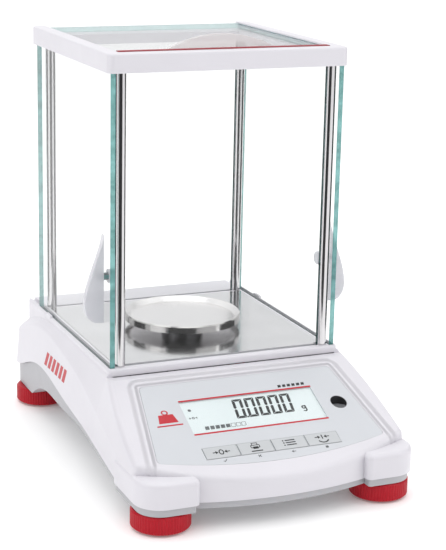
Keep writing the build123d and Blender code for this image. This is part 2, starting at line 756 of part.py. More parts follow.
def main():
    """Write every node."""
    os.makedirs("parts", exist_ok=True)
    save("top_housing", make_top_housing())
    save("bottom_housing", make_bottom_housing())
    save("housing_screws", *make_housing_screws())
    save("inner_screws", *make_inner_screws())

    save("floor_plate", make_floor_plate())
    save("pan_seal", make_pan_seal())
    save("front_left_post", make_post(-POST_X, POST_FRONT_Y))
    save("front_right_post", make_post(POST_X, POST_FRONT_Y))
    save("rear_left_post", make_post(-POST_X, POST_REAR_Y))
    save("rear_right_post", make_post(POST_X, POST_REAR_Y))
    save("post_screws", *make_post_screws())
    save("top_frame", make_top_frame())
    save("front_glass", make_pane(POST_FRONT_Y))
    save("rear_glass", make_pane(POST_REAR_Y))
    save("door_stops", *make_door_stops())
    save("right_door_glass", make_side_glass())
    save("right_door_handle", make_side_handle())
    save("right_door_bolt", make_side_bolt())
    save("left_door_glass", mirror(make_side_glass(), Plane.YZ))
    save("left_door_handle", mirror(make_side_handle(), Plane.YZ))
    save("left_door_bolt", mirror(make_side_bolt(), Plane.YZ))
    save("top_door_glass", make_top_door_glass())
    save("top_door_trim", make_top_door_trim())
    save("top_door_handle", make_top_door_handle())

    save("display_overlay", make_display_overlay())
    save("lcd_panel", make_lcd_panel())
    save("display_board", make_display_board())
    save("level_vial", make_level_vial())
    for index, name in enumerate(("zero_key", "unit_key", "function_key", "tare_key")):
        save(name, make_key(index))

    save("main_board", make_main_board())
    save("power_jack", make_power_jack())
    save("usb_socket", make_usb_socket())
    save("serial_socket", make_serial_socket())
    save("display_cable", make_display_cable())

    save("cell_base", make_cell_base())
    save("upper_guide", make_upper_guide())
    save("lower_guide", make_lower_guide())
    save("load_receiver", make_load_receiver())
    save("coupling_link", make_coupling_link())
    save("weighing_lever", make_weighing_lever())
    save("magnet_pot", make_magnet_pot())
    save("coil", make_coil())
    save("position_sensor", make_position_sensor())

    save("weighing_pan", make_weighing_pan())
    save("pan_support", make_pan_support())
    save("weigh_hook", make_weigh_hook())
    save("hook_cover", make_hook_cover())
    save("foot_inserts", *make_foot_inserts())
    for corner, (x, y) in FOOT_PLACES.items():
        save(corner + "_wheel", make_foot_wheel(x, y))
        save(corner + "_pad", make_foot_pad(x, y))


main()
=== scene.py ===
import math

import bmesh
import bpy
from mathutils import Matrix, Vector
from mathutils.bvhtree import BVHTree


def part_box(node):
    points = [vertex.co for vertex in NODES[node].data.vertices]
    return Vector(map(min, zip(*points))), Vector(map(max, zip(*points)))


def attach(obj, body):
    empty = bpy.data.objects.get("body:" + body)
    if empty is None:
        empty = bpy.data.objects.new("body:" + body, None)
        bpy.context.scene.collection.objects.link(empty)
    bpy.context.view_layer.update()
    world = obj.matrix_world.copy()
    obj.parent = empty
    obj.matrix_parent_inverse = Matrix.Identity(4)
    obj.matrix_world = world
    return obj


# Looks of the analytical balance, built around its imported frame. Metres, unless a name ends in _MM.
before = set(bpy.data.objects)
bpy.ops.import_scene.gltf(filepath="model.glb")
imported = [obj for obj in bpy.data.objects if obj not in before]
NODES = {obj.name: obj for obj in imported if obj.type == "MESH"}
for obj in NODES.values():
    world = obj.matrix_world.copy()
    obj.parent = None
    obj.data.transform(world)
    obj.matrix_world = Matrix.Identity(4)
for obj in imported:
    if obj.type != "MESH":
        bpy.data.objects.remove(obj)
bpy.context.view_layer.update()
MM = 0.001

# ---- the sloping control panel, worked out from the frame ----------------------------
PANEL_SLOPE = 0.44
PANEL_TILT = math.atan(PANEL_SLOPE)
PANEL_UP = Vector((0.0, math.cos(PANEL_TILT), math.sin(PANEL_TILT)))
PANEL_NORMAL = Vector((0.0, -math.sin(PANEL_TILT), math.cos(PANEL_TILT)))
INK_MM = 0.04                 # how far printed ink stands off its film
LIFT_MM = 0.01                # gap between the display's face and the underside of its marks

# film outline and the shell's low ridge round it, as spans of distance in millimetres
FILM_TOP_HALF_MM = 74.5
FILM_FLARE = 0.153            # how much the film's half width grows per length down the slope
RIDGE_RISE_MM = (0.5, 4.0)    # from the film's edge
RIDGE_FALL_MM = (4.5, 9.5)    # from the film's edge
RIDGE_END_MM = (-88.0, -72.0)  # down the slope from the film's top
RIDGE_NEAR_MM = (4.0, 6.0)    # off the film's face
RIDGE_DEPTH_MM = 2.7


def along(node, direction):
    """Lowest and highest reach of a CAD node along a direction."""
    reaches = [vertex.co.dot(direction) for vertex in NODES[node].data.vertices]
    return min(reaches), max(reaches)


def panel_plane(node):
    """A plane parallel to the panel on top of a node: x to the right, y up the slope, in millimetres."""
    s_low, s_high = along("lcd_panel", PANEL_UP)
    origin = PANEL_UP * (s_low + s_high) / 2 + PANEL_NORMAL * along(node, PANEL_NORMAL)[1]
    axes = Matrix((Vector((1, 0, 0)), PANEL_UP, PANEL_NORMAL)).transposed().to_4x4()
    return Matrix.Translation(origin) @ axes @ Matrix.Scale(MM, 4)


# ---- material helpers ----------------------------------------------------------------

class Finish:
    """One material: a Principled shader with the procedural inputs that the finishes share."""

    def __init__(self, name, colour, roughness, metallic=0.0):
        self.material = bpy.data.materials.new(name)
        self.material.use_nodes = True
        self.nodes = self.material.node_tree.nodes
        self.links = self.material.node_tree.links
        self.shader = self.nodes["Principled BSDF"]
        self.colour = colour
        self.roughness = roughness
        self.set("Base Color", (*colour, 1.0))
        self.set("Roughness", roughness)
        self.set("Metallic", metallic)

    def set(self, socket, value):
        """Set one input of the shader to an even value."""
        self.shader.inputs[socket].default_value = value

    def node(self, kind, inputs=None, **settings):
        """A new shader node; inputs are values or the sockets that feed them."""
        made = self.nodes.new(kind)
        for key, value in settings.items():
            setattr(made, key, value)
        for key, value in (inputs or {}).items():
            if isinstance(value, bpy.types.NodeSocket):
                self.links.new(value, made.inputs[key])
            else:
                made.inputs[key].default_value = value
        return made

    def math(self, operation, first, second=0.0):
        """One Math node."""
        return self.node("ShaderNodeMath", {0: first, 1: second}, operation=operation).outputs[0]

    def position(self, stretch=(1.0, 1.0, 1.0), centre=(0.0, 0.0, 0.0)):
        """Object coordinates in millimetres about a centre.

        A small stretch draws noise out along its axis.
        """
        coords = self.node("ShaderNodeTexCoord").outputs["Object"]
        shifted = self.node("ShaderNodeVectorMath", {0: coords, 1: centre}, operation="SUBTRACT")
        scale = [factor / MM for factor in stretch]
        scaled = self.node("ShaderNodeVectorMath", {0: shifted.outputs[0], 1: scale}, operation="MULTIPLY")
        return scaled.outputs[0]

    def noise(self, size_mm, detail=2.0, place=None):
        """Noise with blobs of about size_mm."""
        place = place or self.position()
        inputs = {"Vector": place, "Scale": 1.0 / size_mm, "Detail": detail}
        return self.node("ShaderNodeTexNoise", inputs).outputs["Fac"]

    def spread(self, factor, low, high, start=0.3, end=0.7):
        """Map a factor to a range."""
        inputs = {"Value": factor, "From Min": start, "From Max": end, "To Min": low, "To Max": high}
        return self.node("ShaderNodeMapRange", inputs).outputs["Result"]

    def ease(self, factor, low, high, start, end):
        """Map a factor to a range with a soft start and end."""
        inputs = {"Value": factor, "From Min": start, "From Max": end, "To Min": low, "To Max": high}
        return self.node("ShaderNodeMapRange", inputs, interpolation_type="SMOOTHSTEP").outputs["Result"]

    def blend(self, factor, first, second):
        """Mix two colours, given as numbers or sockets."""
        made = self.node("ShaderNodeMix", {0: factor}, data_type="RGBA")
        for index, value in ((6, first), (7, second)):
            if isinstance(value, bpy.types.NodeSocket):
                self.links.new(value, made.inputs[index])
            else:
                made.inputs[index].default_value = (*value, 1.0)
        return made.outputs[2]

    def feed(self, socket, source):
        """Drive one input of the shader."""
        self.links.new(source, self.shader.inputs[socket])

    def mottle(self, share, size_mm):
        """Vary the base colour a little, as moulded and rolled surfaces do."""
        dark = [value * (1 - share) for value in self.colour]
        light = [min(value * (1 + share), 1.0) for value in self.colour]
        self.feed("Base Color", self.blend(self.spread(self.noise(size_mm), 0.0, 1.0), dark, light))

    def rub(self, spread, size_mm, place=None):
        """Vary the roughness."""
        factor = self.noise(size_mm, 3.0, place)
        self.feed("Roughness", self.spread(factor, self.roughness - spread, self.roughness + spread))

    def front_fresnel(self, ior):
        """Share that a pane's outer side reflects; its inner side reflects nothing."""
        angle = self.node("ShaderNodeFresnel", {"IOR": ior}).outputs[0]
        behind = self.node("ShaderNodeNewGeometry").outputs["Backfacing"]
        return self.math("MULTIPLY", angle, self.math("SUBTRACT", 1.0, behind))

    def bump(self, height, depth_mm, strength=1.0):
        """Raise the surface by a height pattern, on top of any pattern that it has already."""
        inputs = {"Height": height, "Distance": depth_mm * MM, "Strength": strength}
        if self.shader.inputs["Normal"].is_linked:
            inputs["Normal"] = self.shader.inputs["Normal"].links[0].from_socket
        self.feed("Normal", self.node("ShaderNodeBump", inputs).outputs["Normal"])


def moulded(name, colour, roughness, grain_mm=0.7, depth_mm=0.02):
    """Injection-moulded plastic: fine spark-eroded grain and a faint uneven sheen."""
    finish = Finish(name, colour, roughness)
    finish.mottle(0.012, 45.0)
    finish.rub(0.04, 9.0)
    finish.bump(finish.noise(grain_mm, 2.0), depth_mm, 0.6)
    return finish


def brushed(name, colour, roughness, stretch, grain_mm=0.5, spread=0.05):
    """Metal with a drawn or brushed grain; the stretch runs along the grain."""
    finish = Finish(name, colour, roughness, 1.0)
    place = finish.position(stretch)
    finish.mottle(0.03, 30.0)
    finish.rub(spread, grain_mm, place)
    finish.bump(finish.noise(grain_mm, 3.0, place), 0.004, 0.5)
    return finish


def turned(name, colour, roughness, node, groove_mm=0.35):
    """Round metal parts with fine rings about the upright axis of a CAD node."""
    low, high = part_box(node)
    finish = Finish(name, colour, roughness, 1.0)
    place = finish.position((1.0, 1.0, 0.0), (low + high) / 2)
    radius = finish.node("ShaderNodeVectorMath", {0: place}, operation="LENGTH").outputs["Value"]
    inputs = {"W": radius, "Scale": 1 / groove_mm, "Detail": 3.0}
    rings = finish.node("ShaderNodeTexNoise", inputs, noise_dimensions="1D").outputs["Fac"]
    finish.mottle(0.03, 12.0)
    finish.feed("Roughness", finish.spread(rings, roughness - 0.06, roughness + 0.06))
    finish.bump(rings, 0.006, 0.5)
    finish.radius = radius
    return finish


def wound(name, colour, pitch_mm):
    """A winding about an upright axis: round wires one above the other, with painted shade in the grooves
    between them.
    """
    finish = Finish(name, colour, 0.35, 0.9)
    part = finish.node("ShaderNodeSeparateXYZ", {0: finish.position()}).outputs[2]
    phase = finish.math("MULTIPLY", part, 2 * math.pi / pitch_mm)
    turns = finish.math("ABSOLUTE", finish.math("SINE", phase))
    # painted shade: the copper darkens to about a third in the grooves between the wires
    dark = [value * 0.35 for value in colour]
    finish.feed("Base Color", finish.blend(turns, dark, colour))
    finish.bump(turns, 0.12, 0.8)
    return finish


def float_glass(name, axis, deep, pale, clear):
    """A clear pane whose broad faces look along axis.

    Its faces reflect faintly, and its ground edges run from a deep to a pale tint.
    """
    finish = Finish(name, pale, 0.2)
    streaks = finish.noise(16.0, 3.0, finish.position((1.0, 1.0, 1.6)))
    normal = finish.node("ShaderNodeNewGeometry").outputs["True Normal"]
    parts = finish.node("ShaderNodeSeparateXYZ", {0: normal}).outputs
    tint = finish.blend(finish.spread(streaks, 0.0, 1.0, 0.38, 0.62), deep, pale)
    level = finish.math("GREATER_THAN", finish.math("ABSOLUTE", parts[2]), 0.5)
    finish.feed("Base Color", finish.blend(level, tint, (0.10, 0.115, 0.115)))
    finish.bump(finish.noise(0.4), 0.01, 0.4)
    broad = finish.math("GREATER_THAN", finish.math("ABSOLUTE", parts[axis]), 0.9)
    through = finish.node("ShaderNodeBsdfTransparent", {"Color": (0.993, 0.997, 0.996, 1.0)})
    mirror = finish.node("ShaderNodeBsdfAnisotropic", {"Roughness": 0.02})
    share = finish.front_fresnel(1.38)
    face = finish.node("ShaderNodeMixShader", {0: share, 1: through.outputs[0], 2: mirror.outputs[0]})
    tinted = finish.node("ShaderNodeBsdfTransparent", {"Color": (0.55, 0.90, 0.88, 1.0)})
    edge = finish.node("ShaderNodeMixShader", {0: clear, 1: finish.shader.outputs[0], 2: tinted.outputs[0]})
    whole = finish.node("ShaderNodeMixShader", {0: broad, 1: edge.outputs[0], 2: face.outputs[0]})
    finish.links.new(whole.outputs[0], finish.nodes["Material Output"].inputs["Surface"])
    return finish


def window_film(name):
    """The clear part of the panel's film over the display."""
    finish = Finish(name, (1.0, 1.0, 1.0), 0.12)
    through = finish.node("ShaderNodeBsdfTransparent", {"Color": (0.99, 1.0, 1.0, 1.0)})
    mirror = finish.node("ShaderNodeBsdfAnisotropic", {"Roughness": 0.12})
    finish.links.new(finish.spread(finish.noise(0.6), 0.10, 0.14), mirror.inputs["Roughness"])
    share = finish.front_fresnel(1.4)
    whole = finish.node("ShaderNodeMixShader", {0: share, 1: through.outputs[0], 2: mirror.outputs[0]})
    finish.links.new(whole.outputs[0], finish.nodes["Material Output"].inputs["Surface"])
    return finish


def frosted(name, colour, alpha):
    """Translucent moulded handle plastic."""
    finish = moulded(name, colour, 0.32, 0.5, 0.01)
    finish.set("Alpha", alpha)
    finish.set("Subsurface Weight", 0.25)
    finish.set("Subsurface Radius", (0.004, 0.004, 0.004))
    finish.set("Subsurface Scale", 1.0)
    return finish


def display_face(name):
    """White backlit liquid-crystal display with a faint dot grid."""
    finish = Finish(name, (0.86, 0.93, 0.94), 0.25)
    cell_mm = 0.55
    place = finish.position()
    dots = finish.node("ShaderNodeTexVoronoi", {"Vector": place, "Scale": 1 / cell_mm, "Randomness": 0.0})
    grid = finish.spread(dots.outputs["Distance"], 0.0, 1.0, 0.35, 0.6)
    colour = finish.blend(grid, (0.70, 0.74, 0.745), (0.65, 0.695, 0.705))
    finish.feed("Base Color", colour)
    finish.feed("Emission Color", colour)
    finish.set("Emission Strength", 0.12)
    return finish


def circuit_board(name):
    """Green solder mask over copper tracks."""
    finish = Finish(name, (0.02, 0.16, 0.06), 0.32)
    inputs = {"Vector": finish.position(), "Scale": 0.28, "Randomness": 0.15}
    cells = finish.node("ShaderNodeTexVoronoi", inputs, feature="DISTANCE_TO_EDGE")
    track = finish.spread(cells.outputs["Distance"], 1.0, 0.0, 0.03, 0.07)
    finish.feed("Base Color", finish.blend(track, (0.015, 0.12, 0.045), (0.05, 0.27, 0.10)))
    finish.bump(track, 0.035, 0.6)
    return finish


def ribbon(name):
    """Flat cable: grey insulation ribbed along its wires, with painted shade in the troughs between them."""
    finish = Finish(name, (0.42, 0.42, 0.44), 0.5)
    part = finish.node("ShaderNodeSeparateXYZ", {0: finish.position()}).outputs[0]
    ribs = finish.math("ABSOLUTE", finish.math("SINE", finish.math("MULTIPLY", part, math.pi / 1.27)))
    # painted shade: darker grey in the troughs between the ribs
    finish.feed("Base Color", finish.blend(ribs, (0.22, 0.22, 0.24), (0.5, 0.5, 0.52)))
    finish.bump(ribs, 0.25, 0.7)
    return finish


def sticky_rubber(name):
    """Black rubber with a dusty bloom."""
    finish = Finish(name, (0.03, 0.03, 0.032), 0.8)
    bloom = finish.spread(finish.noise(3.0, 4.0), 0.0, 1.0)
    finish.feed("Base Color", finish.blend(bloom, (0.022, 0.022, 0.024), (0.06, 0.06, 0.062)))
    finish.rub(0.08, 1.2)
    finish.bump(finish.noise(0.25, 3.0), 0.03, 0.6)
    return finish


def printed_ink(name, colour, roughness=0.38):
    """Screen-printed ink."""
    finish = Finish(name, colour, roughness)
    finish.mottle(0.06, 0.8)
    finish.rub(0.05, 0.5)
    finish.bump(finish.noise(0.12, 2.0), 0.004, 0.4)
    return finish


def panel_ridge(finish):
    """Height, 0 to 1, of the low soft ridge that the shell carries round the panel's film."""
    top = along("display_overlay", PANEL_UP)[1]
    face = along("display_overlay", PANEL_NORMAL)[1]
    parts = finish.node("ShaderNodeSeparateXYZ", {0: finish.position()}).outputs

    def reach(direction, offset):
        """Distance along a direction from an offset, in millimetres."""
        total = finish.math("MULTIPLY", parts[1], direction.y)
        total = finish.math("ADD", total, finish.math("MULTIPLY", parts[2], direction.z))
        return finish.math("SUBTRACT", total, offset / MM)

    past_top = reach(PANEL_UP, top)
    film_half = finish.math("SUBTRACT", FILM_TOP_HALF_MM, finish.math("MULTIPLY", past_top, FILM_FLARE))
    past_side = finish.math("SUBTRACT", finish.math("ABSOLUTE", parts[0]), film_half)
    gaps = [finish.math("MAXIMUM", gap, 0.0) for gap in (past_top, past_side)]
    squares = [finish.math("MULTIPLY", gap, gap) for gap in gaps]
    gap = finish.math("SQRT", finish.math("ADD", *squares))
    rise = finish.ease(gap, 0.0, 1.0, *RIDGE_RISE_MM)
    fall = finish.ease(gap, 1.0, 0.0, *RIDGE_FALL_MM)
    front_end = finish.ease(past_top, 0.0, 1.0, *RIDGE_END_MM)
    near = finish.ease(finish.math("ABSOLUTE", reach(PANEL_NORMAL, face)), 1.0, 0.0, *RIDGE_NEAR_MM)
    height = finish.math("MULTIPLY", rise, fall)
    for share in (front_end, near):
        height = finish.math("MULTIPLY", height, share)
    return height


WHITE = (0.665, 0.65, 0.69)
GREY = (0.43, 0.43, 0.45)
RED = (0.44, 0.005, 0.016)
PAN_STEEL = (0.80, 0.785, 0.785)
# painted reflection: the lip's colour is the pan's steel made darker, for the dark surroundings that it
# mirrors
PAN_LIP_PAINTED_REFLECTION = (0.50, 0.49, 0.48)
PAN_LIP_R_MM = 44.2           # where the pan's smoother lip starts, with its painted dark reflection

white_plastic = moulded("white_plastic", WHITE, 0.36)
white_plastic.bump(panel_ridge(white_plastic), RIDGE_DEPTH_MM)
grey_plastic = moulded("grey_plastic", GREY, 0.45, 0.9, 0.03)
red_plastic = moulded("red_plastic", RED, 0.36, 0.6, 0.015)
red_plastic.set("Specular IOR Level", 0.25)
# the trim's darker red is partly its own red and partly painted shade of the gap between the top door and
# its rail
trim_red = moulded("trim_red", (0.30, 0.004, 0.012), 0.45, 0.6, 0.015)
trim_red.set("Specular IOR Level", 0.2)
dark_plastic = moulded("dark_plastic", (0.05, 0.05, 0.055), 0.45)
black_plastic = moulded("black_plastic", (0.018, 0.018, 0.02), 0.42)
handle_plastic = frosted("handle_plastic", (0.66, 0.66, 0.70), 0.74)
grip_plastic = frosted("grip_plastic", (0.80, 0.785, 0.785), 0.42)
panel_film = moulded("panel_film", (0.565, 0.58, 0.61), 0.32, 0.8, 0.002)
key_film = moulded("key_film", (0.50, 0.515, 0.53), 0.32, 0.8, 0.002)
lcd_face = display_face("lcd_face")
lens_film = window_film("lens_film")
side_glass = float_glass("side_glass", 0, (0.035, 0.16, 0.15), (0.13, 0.34, 0.33), 0.2)
front_rear_glass = float_glass("front_rear_glass", 1, (0.05, 0.12, 0.12), (0.12, 0.22, 0.22), 0.2)
top_glass = float_glass("top_glass", 2, (0.62, 0.69, 0.69), (0.76, 0.80, 0.80), 0.55)
post_steel = brushed("post_steel", (0.62, 0.61, 0.62), 0.10, (1.0, 1.0, 0.02), 0.35, 0.02)
floor_steel = brushed("floor_steel", (0.74, 0.735, 0.745), 0.15, (0.03, 1.0, 1.0), 0.5, 0.05)
pan_steel = turned("pan_steel", PAN_STEEL, 0.26, "weighing_pan")
# painted reflection: past the lip's radius the base colour turns darker, standing for the dark surroundings
# that the lip mirrors
lip_reflection_mask = pan_steel.spread(pan_steel.radius, 0.0, 1.0, PAN_LIP_R_MM - 0.3, PAN_LIP_R_MM)
pan_steel.feed("Base Color", pan_steel.blend(lip_reflection_mask, PAN_STEEL, PAN_LIP_PAINTED_REFLECTION))
pan_steel.feed("Roughness", pan_steel.spread(pan_steel.radius, 0.27, 0.12, PAN_LIP_R_MM - 0.7, PAN_LIP_R_MM))
# painted reflection: the support's steel gets a near-black colour, standing for the dark surroundings that
# it mirrors
support_steel = turned("support_steel", (0.18, 0.18, 0.185), 0.28, "pan_support")
zinc_steel = brushed("zinc_steel", (0.55, 0.55, 0.53), 0.34, (1.0, 1.0, 1.0), 1.6)
spring_steel = brushed("spring_steel", (0.42, 0.42, 0.44), 0.25, (1.0, 0.05, 1.0), 0.5)
cell_aluminium = brushed("cell_aluminium", (0.62, 0.63, 0.65), 0.30, (1.0, 0.08, 1.0), 0.7)
pot_iron = turned("pot_iron", (0.07, 0.07, 0.075), 0.5, "magnet_pot")
copper_wire = wound("copper_wire", (0.60, 0.22, 0.09), 0.45)
vial_glass = window_film("vial_glass")
brass = turned("brass", (0.60, 0.42, 0.14), 0.25, "foot_inserts")
pad_rubber = sticky_rubber("pad_rubber")
board_green = circuit_board("board_green")
cable_grey = ribbon("cable_grey")
black_ink = printed_ink("black_ink", (0.012, 0.012, 0.014))
grey_ink = printed_ink("grey_ink", (0.10, 0.105, 0.11))
line_ink = printed_ink("line_ink", (0.40, 0.41, 0.43))
red_ink = printed_ink("red_ink", (0.48, 0.008, 0.02))

NODE_FINISHES = {
    white_plastic: ["top_housing", "top_frame", "door_stops"],
    grey_plastic: ["bottom_housing"],
    trim_red: ["top_door_trim"],
    dark_plastic: ["pan_seal"],
    black_plastic: ["power_jack", "position_sensor", "hook_cover"],
    handle_plastic: ["left_door_handle", "right_door_handle", "left_door_bolt", "right_door_bolt"],
    grip_plastic: ["top_door_handle"],
    panel_film: ["display_overlay"],
    key_film: ["zero_key", "unit_key", "function_key", "tare_key"],
    lcd_face: ["lcd_panel"],
    side_glass: ["left_door_glass", "right_door_glass"],
    front_rear_glass: ["front_glass", "rear_glass"],
    top_glass: ["top_door_glass"],
    floor_steel: ["floor_plate"],
    pan_steel: ["weighing_pan"],
    support_steel: ["pan_support"],
    zinc_steel: [
        "housing_screws",
        "inner_screws",
        "post_screws",
        "usb_socket",
        "serial_socket",
        "weigh_hook",
    ],
    spring_steel: ["upper_guide", "lower_guide", "coupling_link"],
    cell_aluminium: ["cell_base", "load_receiver", "weighing_lever"],
    pot_iron: ["magnet_pot"],
    copper_wire: ["coil"],
    brass: ["foot_inserts"],
    vial_glass: ["level_vial"],
    board_green: ["display_board", "main_board"],
    cable_grey: ["display_cable"],
}
CORNERS = ("front_left", "front_right", "rear_left", "rear_right")
NODE_FINISHES[post_steel] = [corner + "_post" for corner in CORNERS]
NODE_FINISHES[red_plastic] = [corner + "_wheel" for corner in CORNERS]
NODE_FINISHES[pad_rubber] = [corner + "_pad" for corner in CORNERS]

for finish, names in NODE_FINISHES.items():
    for name in names:
        for material_slot in NODES[name].material_slots:
            material_slot.material = finish.material


# ---- mesh helpers --------------------------------------------------------------------

def piece(name, mesh, finish, body):
    """Turn a bmesh into a named piece that rides on a body."""
    data = bpy.data.meshes.new(name)
    bmesh.ops.recalc_face_normals(mesh, faces=mesh.faces)
    mesh.to_mesh(data)
    mesh.free()
    made = bpy.data.objects.new(name, data)
    bpy.context.scene.collection.objects.link(made)
    data.materials.append(finish.material)
    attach(made, body)
    return made


def smooth(made, angle=35.0):
    """Shade a piece smooth, keeping its sharp edges."""
    mesh = bmesh.new()
    mesh.from_mesh(made.data)
    for face in mesh.faces:
        face.smooth = True
    for edge in mesh.edges:
        edge.smooth = len(edge.link_faces) == 2 and edge.calc_face_angle() < math.radians(angle)
    mesh.to_mesh(made.data)
    mesh.free()


def filled(mesh, outline, plane, low, high):
    """A flat solid with one outline."""
    bottom = [mesh.verts.new(plane @ Vector((x, y, low))) for x, y in outline]
    top = [mesh.verts.new(plane @ Vector((x, y, high))) for x, y in outline]
    mesh.faces.new(bottom)
    mesh.faces.new(top)
    for index in range(len(outline)):
        after = (index + 1) % len(outline)
        mesh.faces.new((bottom[index], bottom[after], top[after], top[index]))


def stroke(mesh, points, width, plane, low, high, closed=False):
    """A flat line of even width along points, mitred at its corners."""
    points = [Vector(point) for point in points]
    count = len(points)
    sides = ([], [])
    for index, point in enumerate(points):
        before = points[index - 1] if closed or index else None
        after = points[(index + 1) % count] if closed or index < count - 1 else None
        ways = []
        if before is not None:
            ways.append((point - before).normalized())
        if after is not None:
            ways.append((after - point).normalized())
        normals = [Vector((-way.y, way.x)) for way in ways]
        middle = sum(normals, Vector((0, 0))).normalized()
        reach = width / 2 / max(middle.dot(normals[0]), 0.35)
        sides[0].append(point + middle * reach)
        sides[1].append(point - middle * reach)
    rings = []
    for height in (low, high):
        rings.append([[mesh.verts.new(plane @ Vector((p.x, p.y, height))) for p in side] for side in sides])
    (low_left, low_right), (high_left, high_right) = rings
    spans = count if closed else count - 1
    for index in range(spans):
        after = (index + 1) % count
        mesh.faces.new((low_left[index], low_left[after], low_right[after], low_right[index]))
        mesh.faces.new((high_left[index], high_left[after], high_right[after], high_right[index]))
        mesh.faces.new((low_left[index], low_left[after], high_left[after], high_left[index]))
        mesh.faces.new((low_right[index], low_right[after], high_right[after], high_right[index]))
    if not closed:
        for index in (0, count - 1):
            mesh.faces.new((low_left[index], low_right[index], high_right[index], high_left[index]))


def arc(x, y, radius, start=0.0, end=360.0, steps=24):
    """Points along a circle; a whole circle leaves out its repeated end."""
    whole = abs(end - start) >= 360.0
    count = steps if whole else steps + 1
    angles = [math.radians(start + (end - start) * index / steps) for index in range(count)]
    return [(x + radius * math.cos(a), y + radius * math.sin(a)) for a in angles]


def rounded(x0, x1, y0, y1, radius, steps=5):
    """Outline of a rectangle with rounded corners."""
    points = []
    for x, y, start in ((x1, y1, 0), (x0, y1, 90), (x0, y0, 180), (x1, y0, 270)):
        centre_x = x - radius if x == x1 else x + radius
        centre_y = y - radius if y == y1 else y + radius
        points += arc(centre_x, centre_y, radius, start, start + 90, steps)
    return points


def lathe(mesh, profile, centre, steps=96):
    """Turn a closed (radius, height) profile about an upright axis."""
    rings = []
    for step in range(steps):
        angle = 2 * math.pi * step / steps
        way = Vector((math.cos(angle), math.sin(angle), 0))
        places = [centre + way * radius + Vector((0, 0, height)) for radius, height in profile]
        rings.append([mesh.verts.new(place) for place in places])
    count = len(profile)
    for step in range(steps):
        here, there = rings[step], rings[(step + 1) % steps]
        for index in range(count):
            after = (index + 1) % count
            mesh.faces.new((here[index], there[index], there[after], here[after]))


# ---- display, in millimetres from the display's middle -------------------------------

LCD_PLANE = panel_plane("lcd_panel")
FILM_PLANE = panel_plane("display_overlay")
LCD_HALF_X = 51.5
LCD_HALF_Y = 16.9
WINDOW_GAP = 0.08
DIGIT_PITCH = 9.3
DIGIT_W = 7.6
DIGIT_H = 19.2
DIGIT_STROKE = 2.15
DIGIT_LEAN = 0.12
DIGIT_X = -14.4
DIGIT_Y = -5.7
DIGITS = 5
SEGMENT_GAP = 0.2
UNIT_SIGN = (38.6, -2.4)      # middle of the small unit sign's bowl
STEADY_MARK = (-46.0, 8.0)
ZERO_MARK = (-45.8, 0.2)
RANGE_BAR = (-41.2, -12.9)    # its lower left corner
RANGE_BAR_W = 31.6
RANGE_BAR_H = 3.4
RANGE_CELLS = 8
RANGE_CELLS_FULL = 5


def slanted(x, y, lean_from):
    """A point of a leaning figure."""
    return x + (y - lean_from) * DIGIT_LEAN, y


def zero_segments(x, y):
    """The six lit bars of a seven-segment nought, as outlines."""
    w, h, t, g = DIGIT_W, DIGIT_H, DIGIT_STROKE, SEGMENT_GAP
    middle = h / 2
    top = [(g, h), (w - g, h), (w - g - t, h - t), (g + t, h - t)]
    bottom = [(g + t, t), (w - g - t, t), (w - g, 0), (g, 0)]
    upper_left = [
        (0, h - g),
        (t, h - g - t),
        (t, middle + g + t / 3),
        (t / 2, middle + g),
        (0, middle + g + t / 3),
    ]
    lower_left = [(px, h - py) for px, py in upper_left]
    upper_right = [(w - px, py) for px, py in upper_left]
    lower_right = [(w - px, py) for px, py in lower_left]
    bars = (top, bottom, upper_left, lower_left, upper_right, lower_right)
    return [[slanted(x + px, y + py, y) for px, py in bar] for bar in bars]


def make_digits():
    """The reading: five noughts, a decimal point and the small unit sign."""
    mesh = bmesh.new()
    for index in range(DIGITS):
        for outline in zero_segments(DIGIT_X + index * DIGIT_PITCH, DIGIT_Y):
            filled(mesh, outline, LCD_PLANE, LIFT_MM, INK_MM)
    point_x = DIGIT_X + DIGIT_W + 0.3
    corners = ((0, 0), (1.15, 0), (1.15, 1.5), (0, 1.5))
    dot = [slanted(point_x + x, DIGIT_Y + y, DIGIT_Y) for x, y in corners]
    filled(mesh, dot, LCD_PLANE, LIFT_MM, INK_MM)
    x, y = UNIT_SIGN
    stroke(mesh, arc(x, y, 1.25, steps=18), 1.05, LCD_PLANE, LIFT_MM, INK_MM, closed=True)
    tail = [(x + 1.4, y + 1.8), (x + 1.4, y - 2.6)]
    tail += arc(x, y - 2.6, 1.4, 0, -150, 8)[1:]
    stroke(mesh, tail, 1.0, LCD_PLANE, LIFT_MM, INK_MM)
    piece("lcd_digits", mesh, black_ink, "housing")


def make_status_marks():
    """Steady mark, zero mark and the bar that shows how much of the range is used."""
    mesh = bmesh.new()
    filled(mesh, arc(*STEADY_MARK, 1.25, steps=18), LCD_PLANE, LIFT_MM, INK_MM)
    x, y = ZERO_MARK
    stroke(mesh, arc(x, y, 0.8, steps=14), 0.6, LCD_PLANE, LIFT_MM, INK_MM, closed=True)
    for side in (-1, 1):
        tip, tail = x + side * 1.3, x + side * 3.0
        filled(mesh, [(tip, y), (tail, y + 0.9), (tail, y - 0.9)], LCD_PLANE, LIFT_MM, INK_MM)
    bar_x, low = RANGE_BAR
    high = low + RANGE_BAR_H
    pitch = RANGE_BAR_W / RANGE_CELLS
    for index in range(RANGE_CELLS):
        x0 = bar_x + index * pitch
        x1 = x0 + pitch * 0.78
        outline = [slanted(px, py, low) for px, py in ((x0, low), (x1, low), (x1, high), (x0, high))]
        if index < RANGE_CELLS_FULL:
            filled(mesh, outline, LCD_PLANE, LIFT_MM, INK_MM)
        else:
            stroke(mesh, outline, 0.35, LCD_PLANE, LIFT_MM, INK_MM, closed=True)
    piece("lcd_status_marks", mesh, grey_ink, "housing")


